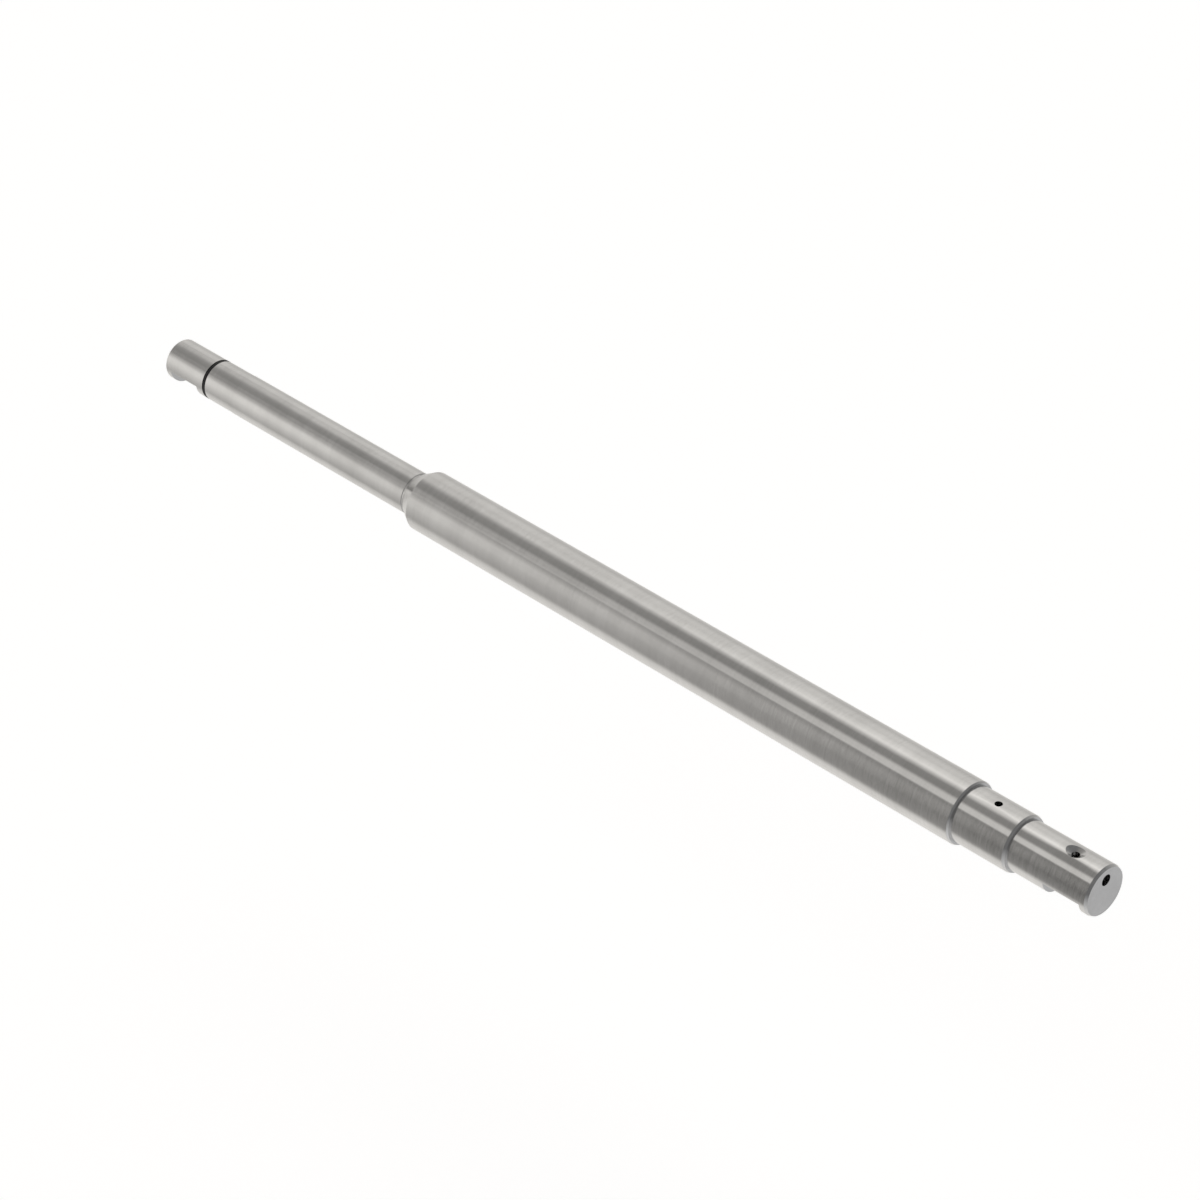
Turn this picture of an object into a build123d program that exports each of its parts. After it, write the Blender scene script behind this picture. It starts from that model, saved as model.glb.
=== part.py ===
from build123d import *

import math
import os

# Stepped shaft: ground seats of 40, 45, 50 and 35 mm, one seal groove, and an oil gallery at one end.
# The shaft axis lies along X and the lubricated end points to +X. The radial oil holes open to +Z.
# The origin is the point of the axis half way between the end faces. Millimetres and degrees throughout.

os.makedirs("parts", exist_ok=True)

# ---------------------------------------------------------------- driving sizes, from the +X end to the -X end
near_seat_dia = 40.0
near_seat_len = 71.5
mid_seat_dia = 45.0
mid_seat_len = 49.0
body_dia = 50.0
body_len = 557.0
journal_dia = 35.5
journal_len = 220.0        # from the body to the far seat, with the taper and the relief
far_seat_dia = 35.0
far_seat_len = 79.5

near_lead_len = 2.4        # lead-in chamfers: length along the axis and drop in radius
near_lead_drop = 1.0
mid_lead_len = 2.1
mid_lead_drop = 0.9
body_lead_len = 1.5
body_lead_drop = 0.8
far_edge_break = 0.5
journal_bevel_len = 0.25   # bevel between the journal and the far seat

taper_angle = 30.0         # cone that rises from the journal to the body
taper_foot_step = 0.25     # the cone starts this much above the journal
relief_width = 2.0         # grinding relief at the foot of the cone
relief_depth = 0.35

cord_dia = 3.5             # rubber O-ring cord, seated flush with the far seat
cord_side_gap = 0.05
groove_from_end = 45.7

flat_len = 32.0            # flats milled near both ends, with end walls square to the axis
flat_direction = 225.0     # the way the flats face, turned about the axis from +Y towards +Z
near_flat_from_end = 7.0
near_flat_depth = 3.2
far_flat_from_end = 6.0
far_flat_depth = 3.6

drill_point = 118.0
gallery_dia = 9.0          # oil gallery, drilled into the +X end face above the axis
gallery_offset = 10.0
gallery_past_feed = 8.5    # how far the gallery runs past the centre of the feed on the 45 mm seat
feed_dia = 6.0             # radial feeds from the seats down to the gallery
near_feed_from_end = 27.2
mid_feed_from_shoulder = 25.2
sink_dia = 15.8            # conical mouth of the feed on the 40 mm seat

# ---------------------------------------------------------------- radii and stations worked out from them
r_near = near_seat_dia / 2
r_mid = mid_seat_dia / 2
r_body = body_dia / 2
r_journal = journal_dia / 2
r_far = far_seat_dia / 2
r_relief = r_journal - relief_depth
r_foot = r_journal + taper_foot_step
r_groove = r_far - cord_dia

groove_width = cord_dia + 2 * cord_side_gap
taper_len = (r_body - r_foot) / math.tan(math.radians(taper_angle))

x_near = (near_seat_len + mid_seat_len + body_len + journal_len + far_seat_len) / 2
x_far = -x_near
x_near_shoulder = x_near - near_seat_len
x_mid_shoulder = x_near_shoulder - mid_seat_len
x_taper_top = x_mid_shoulder - body_len
x_taper_foot = x_taper_top - taper_len
x_journal_end = x_far + far_seat_len
x_groove = x_far + groove_from_end

x_near_feed = x_near - near_feed_from_end
x_mid_feed = x_near_shoulder - mid_feed_from_shoulder
gallery_depth = x_near - x_mid_feed + gallery_past_feed
gallery_point_len = gallery_dia / 2 / math.tan(math.radians(drill_point / 2))

# ---------------------------------------------------------------- shaft
with BuildPart() as shaft:
    # half section of the turning, revolved about the axis
    with BuildSketch(Plane.XZ):
        with BuildLine():
            Polyline(
                (x_far, 0),
                (x_far, r_far - far_edge_break),
                (x_far + far_edge_break, r_far),
                (x_groove, r_far),
                (x_groove, r_groove),
                (x_groove + groove_width, r_groove),
                (x_groove + groove_width, r_far),
                (x_journal_end - journal_bevel_len, r_far),
                (x_journal_end, r_journal),
                (x_taper_foot - relief_width, r_journal),
                (x_taper_foot - relief_width, r_relief),
                (x_taper_foot, r_relief),
                (x_taper_foot, r_foot),
                (x_taper_top, r_body),
                (x_mid_shoulder - body_lead_len, r_body),
                (x_mid_shoulder, r_body - body_lead_drop),
                (x_mid_shoulder, r_mid),
                (x_near_shoulder - mid_lead_len, r_mid),
                (x_near_shoulder, r_mid - mid_lead_drop),
                (x_near_shoulder, r_near),
                (x_near - near_lead_len, r_near),
                (x_near, r_near - near_lead_drop),
                (x_near, 0),
                close=True,
            )
        make_face()
    revolve(axis=Axis.X)

    # a flat near each end: the sketch lies in the floor of the flat and is cut outwards
    facing = Vector(0, 1, 0).rotate(Axis.X, flat_direction)
    near_flat_x = x_near - near_flat_from_end - flat_len / 2
    far_flat_x = x_far + far_flat_from_end + flat_len / 2
    for flat_x, radius, depth in (
        (near_flat_x, r_near, near_flat_depth),
        (far_flat_x, r_far, far_flat_depth),
    ):
        floor_centre = Vector(flat_x, 0, 0) + facing * (radius - depth)
        with BuildSketch(Plane(origin=floor_centre, x_dir=(1, 0, 0), z_dir=facing)):
            Rectangle(flat_len, 2 * radius)
        extrude(amount=2 * depth, mode=Mode.SUBTRACT)

    # oil gallery from the +X end face, ending in the drill's point
    with BuildSketch(Plane.XZ):
        with BuildLine():
            Polyline(
                (x_near, gallery_offset),
                (x_near, gallery_offset + gallery_dia / 2),
                (x_near - gallery_depth, gallery_offset + gallery_dia / 2),
                (x_near - gallery_depth - gallery_point_len, gallery_offset),
                close=True,
            )
        make_face()
    revolve(axis=Axis((0, 0, gallery_offset), (1, 0, 0)), mode=Mode.SUBTRACT)

    # plain feed on the 45 mm seat
    with Locations((x_mid_feed, 0, r_mid)):
        Hole(radius=feed_dia / 2, depth=r_mid - gallery_offset)

    # feed with a conical mouth on the 40 mm seat
    with Locations((x_near_feed, 0, r_near)):
        CounterSinkHole(
            radius=feed_dia / 2,
            counter_sink_radius=sink_dia / 2,
            counter_sink_angle=drill_point,
            depth=r_near - gallery_offset,
        )
shaft.part.label = "shaft"
export_step(shaft.part, "parts/shaft.step")

# ---------------------------------------------------------------- rubber O-ring, on the groove's floor
with BuildPart() as o_ring:
    with BuildSketch(Plane.XZ):
        with Locations((x_groove + groove_width / 2, r_groove + cord_dia / 2)):
            Circle(cord_dia / 2)
    revolve(axis=Axis.X)
o_ring.part.label = "o_ring"
export_step(o_ring.part, "parts/o_ring.step")
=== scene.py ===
"""Looks of the stepped shaft: ground steel and a rubber ring, on a pale floor in soft studio light."""

import math

import bpy
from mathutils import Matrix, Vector


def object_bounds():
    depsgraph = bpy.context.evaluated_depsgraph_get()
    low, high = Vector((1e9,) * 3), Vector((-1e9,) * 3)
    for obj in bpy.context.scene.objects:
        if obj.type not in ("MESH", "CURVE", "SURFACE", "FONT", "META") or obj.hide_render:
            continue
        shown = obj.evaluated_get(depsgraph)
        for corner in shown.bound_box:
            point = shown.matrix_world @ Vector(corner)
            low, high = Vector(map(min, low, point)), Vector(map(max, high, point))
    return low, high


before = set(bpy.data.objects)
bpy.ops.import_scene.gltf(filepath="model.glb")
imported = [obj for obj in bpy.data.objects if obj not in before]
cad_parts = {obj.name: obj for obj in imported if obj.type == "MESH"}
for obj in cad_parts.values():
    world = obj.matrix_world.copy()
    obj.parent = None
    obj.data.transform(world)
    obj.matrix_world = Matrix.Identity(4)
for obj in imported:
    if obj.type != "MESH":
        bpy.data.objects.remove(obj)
cad_low, cad_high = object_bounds()
centre = (Vector(cad_low) + Vector(cad_high)) / 2

# ------------------------------------------------ camera and floor; metres unless a name says MM
VIEW_AZIMUTH = math.radians(45.0)
VIEW_ELEVATION = math.atan(1 / math.sqrt(2))
CAMERA_DISTANCE = 2.9825
LENS_MM = 118.45
SENSOR_MM = 36.0
FLOOR_DROP = 0.40
FLOOR_SIZE = 40.0
FLOOR_LIFT = 0.66  # brings the lit floor just up to white for the camera, and the faint shadow stays
FLOOR_GREY = 0.9


# ---------------------------------------------------------------- node helpers
class Nodes:
    """Adds nodes to one tree, left to right, and links them by name."""

    def __init__(self, tree):
        self.tree = tree
        self.column = 0
        tree.nodes.clear()

    def add(self, kind, **settings):
        node = self.tree.nodes.new(kind)
        node.location = (self.column, 0)
        self.column += 220
        for name, value in settings.items():
            setattr(node, name, value)
        return node

    def link(self, source, target):
        self.tree.links.new(source, target)

    def math(self, operation, first, second=0.0):
        node = self.add("ShaderNodeMath", operation=operation)
        for socket, value in zip(node.inputs, (first, second)):
            if isinstance(value, bpy.types.NodeSocket):
                self.link(value, socket)
            else:
                socket.default_value = value
        return node.outputs[0]

    def total(self, start, *parts):
        """start plus each value times its weight."""
        result = start
        for value, weight in parts:
            result = self.math("ADD", result, self.math("MULTIPLY", value, weight))
        return result

    def ramp(self, factor, stops):
        node = self.add("ShaderNodeValToRGB")
        node.color_ramp.interpolation = "LINEAR"
        elements = node.color_ramp.elements
        while len(elements) > 1:
            elements.remove(elements[-1])
        elements[0].position = stops[0][0]
        elements[0].color = (*stops[0][1], 1)
        for position, colour in stops[1:]:
            elements.new(position).color = (*colour, 1)
        self.link(factor, node.inputs["Fac"])
        return node.outputs["Color"]


def new_material(name):
    material = bpy.data.materials.new(name)
    material.use_nodes = True
    return material, Nodes(material.node_tree)


# ---------------------------------------------------------------- materials
# Streaks of the ground finish: noise scale per metre along the axis, the same round it, and detail.
RINGS = (2200.0, 12.0, 3.0)
GRAIN = (700.0, 170.0, 4.0)
BANDS = (60.0, 12.0, 4.0)
CLOUD = (30.0, 30.0, 5.0)
STEEL_TONES = [
    (0.35, (0.59, 0.588, 0.58)),
    (0.50, (0.66, 0.657, 0.65)),
    (0.65, (0.73, 0.728, 0.722)),
]
STEEL_TONE_SHARES = (0.30, 0.20, 0.25, 0.25)
STEEL_ROUGHNESS = 0.10
STEEL_ROUGHNESS_SHARE = 0.08
STEEL_BUMP_RINGS = 0.2
STEEL_BUMP = 0.00002
STEEL_BUMP_STRENGTH = 0.25
ANISOTROPY = 0.8
QUARTER_TURN = 0.25  # stretches the highlight along the axis, across the grinding marks

RUBBER_TONES = [(0.3, (0.016, 0.016, 0.016)), (0.7, (0.030, 0.030, 0.031))]
RUBBER_GRAIN = 900.0
RUBBER_DETAIL = 4.0
RUBBER_ROUGHNESS = 0.45
RUBBER_ROUGHNESS_SHARE = 0.15
RUBBER_BUMP = 0.00005
RUBBER_BUMP_STRENGTH = 0.25


def ground_steel():
    """Cylindrically ground steel: fine rings round the axis, faint bands and a soft long highlight."""
    material, n = new_material("ground_steel")
    place = n.add("ShaderNodeTexCoord").outputs["Object"]
    split = n.add("ShaderNodeSeparateXYZ")
    n.link(place, split.inputs[0])

    def streaks(along, around, detail):
        """Noise drawn out round the axis: along and around are its scales per metre."""
        join = n.add("ShaderNodeCombineXYZ")
        for axis, scale in zip("XYZ", (along, around, around)):
            n.link(n.math("MULTIPLY", split.outputs[axis], scale), join.inputs[axis])
        noise = n.add("ShaderNodeTexNoise")
        noise.inputs["Scale"].default_value = 1.0
        noise.inputs["Detail"].default_value = detail
        n.link(join.outputs[0], noise.inputs["Vector"])
        return noise.outputs["Fac"]

    rings = streaks(*RINGS)
    grain = streaks(*GRAIN)
    bands = streaks(*BANDS)
    cloud = streaks(*CLOUD)
    tone = n.total(0.0, *zip((rings, grain, bands, cloud), STEEL_TONE_SHARES))
    colour = n.ramp(tone, STEEL_TONES)
    roughness = n.total(STEEL_ROUGHNESS, (rings, STEEL_ROUGHNESS_SHARE), (grain, STEEL_ROUGHNESS_SHARE))

    bump = n.add("ShaderNodeBump")
    bump.inputs["Strength"].default_value = STEEL_BUMP_STRENGTH
    bump.inputs["Distance"].default_value = STEEL_BUMP
    n.link(n.total(0.0, (rings, STEEL_BUMP_RINGS), (grain, 1.0)), bump.inputs["Height"])

    tangent = n.add("ShaderNodeTangent", direction_type="RADIAL", axis="X")
    shader = n.add("ShaderNodeBsdfPrincipled")
    shader.inputs["Metallic"].default_value = 1.0
    shader.inputs["Anisotropic"].default_value = ANISOTROPY
    shader.inputs["Anisotropic Rotation"].default_value = QUARTER_TURN
    n.link(colour, shader.inputs["Base Color"])
    n.link(roughness, shader.inputs["Roughness"])
    n.link(bump.outputs[0], shader.inputs["Normal"])
    n.link(tangent.outputs[0], shader.inputs["Tangent"])
    n.link(shader.outputs[0], n.add("ShaderNodeOutputMaterial").inputs["Surface"])
    return material


def black_rubber():
    """Moulded black rubber with a faint grain."""
    material, n = new_material("black_rubber")
    place = n.add("ShaderNodeTexCoord").outputs["Object"]
    grain = n.add("ShaderNodeTexNoise")
    grain.inputs["Scale"].default_value = RUBBER_GRAIN
    grain.inputs["Detail"].default_value = RUBBER_DETAIL
    n.link(place, grain.inputs["Vector"])
    colour = n.ramp(grain.outputs["Fac"], RUBBER_TONES)
    bump = n.add("ShaderNodeBump")
    bump.inputs["Strength"].default_value = RUBBER_BUMP_STRENGTH
    bump.inputs["Distance"].default_value = RUBBER_BUMP
    n.link(grain.outputs["Fac"], bump.inputs["Height"])
    shader = n.add("ShaderNodeBsdfPrincipled")
    n.link(colour, shader.inputs["Base Color"])
    roughness = n.total(RUBBER_ROUGHNESS, (grain.outputs["Fac"], RUBBER_ROUGHNESS_SHARE))
    n.link(roughness, shader.inputs["Roughness"])
    n.link(bump.outputs[0], shader.inputs["Normal"])
    n.link(shader.outputs[0], n.add("ShaderNodeOutputMaterial").inputs["Surface"])
    return material


def pale_floor():
    """White to the camera, with the faint shadow kept."""
    material, n = new_material("pale_floor")
    shader = n.add("ShaderNodeBsdfDiffuse")
    shader.inputs["Color"].default_value = (FLOOR_GREY, FLOOR_GREY, FLOOR_GREY, 1)
    path = n.add("ShaderNodeLightPath")
    glow = n.add("ShaderNodeEmission")
    n.link(n.math("MULTIPLY", path.outputs["Is Camera Ray"], FLOOR_LIFT), glow.inputs["Strength"])
    both = n.add("ShaderNodeAddShader")
    n.link(shader.outputs[0], both.inputs[0])
    n.link(glow.outputs[0], both.inputs[1])
    n.link(both.outputs[0], n.add("ShaderNodeOutputMaterial").inputs["Surface"])
    return material


def dress(node, material):
    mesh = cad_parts[node].data
    mesh.materials.clear()
    mesh.materials.append(material)


dress("shaft", ground_steel())
dress("o_ring", black_rubber())

# ---------------------------------------------------------------- floor
floor_z = cad_low[2] - FLOOR_DROP
half = FLOOR_SIZE / 2
corners = [(-half, -half, floor_z), (half, -half, floor_z), (half, half, floor_z), (-half, half, floor_z)]
mesh = bpy.data.meshes.new("floor")
mesh.from_pydata(corners, [], [(0, 1, 2, 3)])
mesh.materials.append(pale_floor())
floor = bpy.data.objects.new("floor", mesh)
bpy.context.scene.collection.objects.link(floor)
floor.visible_glossy = False  # the steel mirrors the studio alone


# ---------------------------------------------------------------- studio light
# The room is described by direction: an angle about the shaft's axis, in degrees from +Y through +Z, and how
# far the direction leans along the axis. Soft boxes and the gaps between them are stops of
# (angle, brightness), chosen so that the bands on the steel fall about where they do in the photograph.
FULL_TURN = 360
NEAR_LEAN = -0.48
FAR_LEAN = -0.65
FRONT_LEANS = (-0.35, 0.15)
NEAR_ROOM = [
    (0, 0.6),
    (25, 0.8),
    (50, 0.8),
    (70, 1.3),
    (90, 0.3),
    (110, 0.3),
    (120, 0.9),
    (135, 0.9),
    (140, 0.2),
    (190, 0.1),
    (230, 0.3),
    (250, 0.9),
    (310, 0.9),
]
FAR_ROOM = [
    (0, 0.6),
    (25, 0.8),
    (80, 0.4),
    (130, 0.25),
    (140, 0.6),
    (160, 1.1),
    (180, 1.1),
    (230, 0.6),
    (250, 0.8),
    (310, 0.9),
]
FRONT_ROOM = [
    (0, 0.3),
    (60, 0.2),
    (180, 0.2),
    (240, 0.8),
    (270, 0.8),
    (300, 0.6),
    (330, 0.6),
]
WARM = (1.0, 0.975, 0.94)
NEUTRAL = (1.0, 1.0, 1.01)


# Where the Mix node keeps its colour sockets, which share their names with those for numbers and vectors.
COLOUR_A = 6
COLOUR_B = 7
COLOUR_RESULT = 2


def studio_world():
    """White to the camera, and a room of soft boxes to everything else."""
    world = bpy.data.worlds.new("studio")
    bpy.context.scene.world = world
    world.use_nodes = True
    n = Nodes(world.node_tree)
    way = n.add("ShaderNodeTexCoord").outputs["Generated"]
    split = n.add("ShaderNodeSeparateXYZ")
    n.link(way, split.inputs[0])
    turn = n.math("ARCTAN2", split.outputs["Z"], split.outputs["Y"])
    share = n.math("FRACT", n.math("ADD", n.math("DIVIDE", turn, 2 * math.pi), 1.0))

    def room(stops, tint):
        wrapped = stops + [(FULL_TURN, stops[0][1])]
        tinted = [(angle / FULL_TURN, tuple(level * part for part in tint)) for angle, level in wrapped]
        return n.ramp(share, tinted)

    def blend(first, second, low, high):
        """Goes from first to second as the lean goes from low to high."""
        ease = n.add("ShaderNodeMapRange", clamp=True)
        n.link(split.outputs["X"], ease.inputs["Value"])
        ease.inputs["From Min"].default_value = low
        ease.inputs["From Max"].default_value = high
        mix = n.add("ShaderNodeMix", data_type="RGBA")
        n.link(ease.outputs["Result"], mix.inputs["Factor"])
        n.link(first, mix.inputs[COLOUR_A])
        n.link(second, mix.inputs[COLOUR_B])
        return mix.outputs[COLOUR_RESULT]

    along = blend(room(FAR_ROOM, WARM), room(NEAR_ROOM, WARM), FAR_LEAN, NEAR_LEAN)
    whole = blend(along, room(FRONT_ROOM, NEUTRAL), *FRONT_LEANS)
    light = n.add("ShaderNodeBackground")
    n.link(whole, light.inputs["Color"])
    white = n.add("ShaderNodeBackground")
    white.inputs["Color"].default_value = (1, 1, 1, 1)
    path = n.add("ShaderNodeLightPath")
    mix = n.add("ShaderNodeMixShader")
    n.link(path.outputs["Is Camera Ray"], mix.inputs[0])
    n.link(light.outputs[0], mix.inputs[1])
    n.link(white.outputs[0], mix.inputs[2])
    n.link(mix.outputs[0], n.add("ShaderNodeOutputWorld").inputs["Surface"])


studio_world()

# ---------------------------------------------------------------- camera
camera_data = bpy.data.cameras.new("camera")
camera_data.lens = LENS_MM
camera_data.sensor_width = SENSOR_MM
camera = bpy.data.objects.new("camera", camera_data)
toward_camera = Vector(
    (
        math.sin(VIEW_AZIMUTH) * math.cos(VIEW_ELEVATION),
        -math.cos(VIEW_AZIMUTH) * math.cos(VIEW_ELEVATION),
        math.sin(VIEW_ELEVATION),
    )
)
camera.location = centre + toward_camera * CAMERA_DISTANCE
camera.rotation_euler = toward_camera.to_track_quat("Z", "Y").to_euler()
bpy.context.scene.collection.objects.link(camera)
bpy.context.scene.camera = camera
bpy.context.scene.view_settings.view_transform = "Standard"
